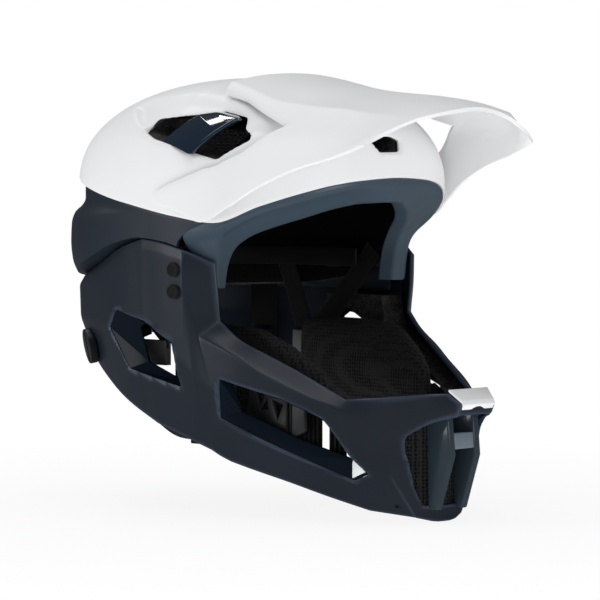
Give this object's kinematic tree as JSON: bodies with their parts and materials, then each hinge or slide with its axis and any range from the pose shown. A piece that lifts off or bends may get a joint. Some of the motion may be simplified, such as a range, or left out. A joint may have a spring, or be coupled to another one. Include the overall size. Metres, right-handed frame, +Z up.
{
  "type": "full face bike helmet",
  "caption": "White and navy downhill bike helmet with a tilting visor and a removable faceted chin bar.",
  "frame": {"origin": "middle of the head space, level with the eyes, as the helmet is worn", "axes": "+Z up, -Y the way the wearer looks, +X the wearer's left"},
  "size_m": [0.22, 0.3265, 0.2813],
  "materials": {
    "shell_white": "smooth satin lacquer",
    "shell_navy": "satin lacquer",
    "rim_navy": "satin lacquer with a blue sheen",
    "bar_navy": "soft matte lacquer",
    "bridge_navy": "high gloss",
    "visor_white": "satin injection moulding",
    "foam_dark": "bead foam, speckled",
    "trim_black": "fine moulded grain",
    "plate_pale": "polished edge",
    "cap_rubber": "knurled rubber",
    "pad_mesh": "spacer mesh",
    "webbing": "woven nylon",
    "divider_grey": "moulded"
  },
  "bodies": {
    "helmet": {"upper_shell": "shell_white", "lower_shell": "shell_navy", "brow_rim": "rim_navy", "foam_liner": "foam_dark", "roll_bar_left": "bridge_navy", "roll_bar_right": "bridge_navy", "latch_plates": "trim_black", "crown_pad_front": "pad_mesh", "crown_pad_rear": "pad_mesh", "brow_pad": "pad_mesh", "band_guides": "trim_black", "strap_left": "webbing", "strap_right": "webbing", "strap_divider_left": "divider_grey", "strap_divider_right": "divider_grey", "chin_strap": "webbing", "buckle_socket": "trim_black", "strap_anchors": "trim_black", "rear_grille": "trim_black"},
    "visor_body": {"visor": "visor_white", "visor_channel": "visor_white", "visor_pivots": "trim_black"},
    "chin_bar_body": {"chin_bar": "bar_navy", "vent_surround_left": "bridge_navy", "vent_surround_right": "bridge_navy", "bar_foam_left": "foam_dark", "bar_foam_right": "foam_dark", "mouth_grille": "trim_black", "chin_plate": "plate_pale", "vent_tips": "plate_pale", "vent_lattices": "trim_black", "temple_caps": "cap_rubber", "cheek_pad_left": "pad_mesh", "cheek_pad_right": "pad_mesh"},
    "release_left": {"release_dial_left": "trim_black"},
    "release_right": {"release_dial_right": "trim_black"},
    "cradle": {"fit_band": "trim_black", "fit_housing": "trim_black"},
    "dial": {"fit_dial": "cap_rubber"},
    "buckle": {"buckle_tongue": "trim_black"}
  },
  "joints": [
    {"name": "visor_tilt", "type": "hinge", "parent": "helmet", "child": "visor_body", "pos_m": [0, -0.028, 0.07], "axis": [-1, 0, 0], "range_deg": [-4, 5]},
    {"name": "chin_bar_drop", "type": "slide", "parent": "helmet", "child": "chin_bar_body", "axis": [0, 0, -1], "range_m": [0, 0.04]},
    {"name": "release_turn_left", "type": "hinge", "parent": "chin_bar_body", "child": "release_left", "pos_m": [0.0792, 0.0784, -0.0294], "axis": [0.8352, 0.5158, -0.1908], "range_deg": [0, 90]},
    {"name": "release_turn_right", "type": "hinge", "parent": "chin_bar_body", "child": "release_right", "pos_m": [-0.0792, 0.0784, -0.0294], "axis": [-0.8352, 0.5158, -0.1908], "range_deg": [0, 90]},
    {"name": "cradle_slide", "type": "slide", "parent": "helmet", "child": "cradle", "axis": [0, -1, 0], "range_m": [0, 0.008]},
    {"name": "fit_dial_turn", "type": "hinge", "parent": "cradle", "child": "dial", "pos_m": [0, 0.1017, -0.00802], "axis": [0, 1, 0], "range_deg": [0, 270]},
    {"name": "buckle_slide", "type": "slide", "parent": "helmet", "child": "buckle", "axis": [0, -1, 0], "range_m": [0, 0.014]}
  ],
  "couplings": [
    {"joint": "fit_dial_turn", "follows": "cradle_slide", "rad_per_m": 580}
  ]
}
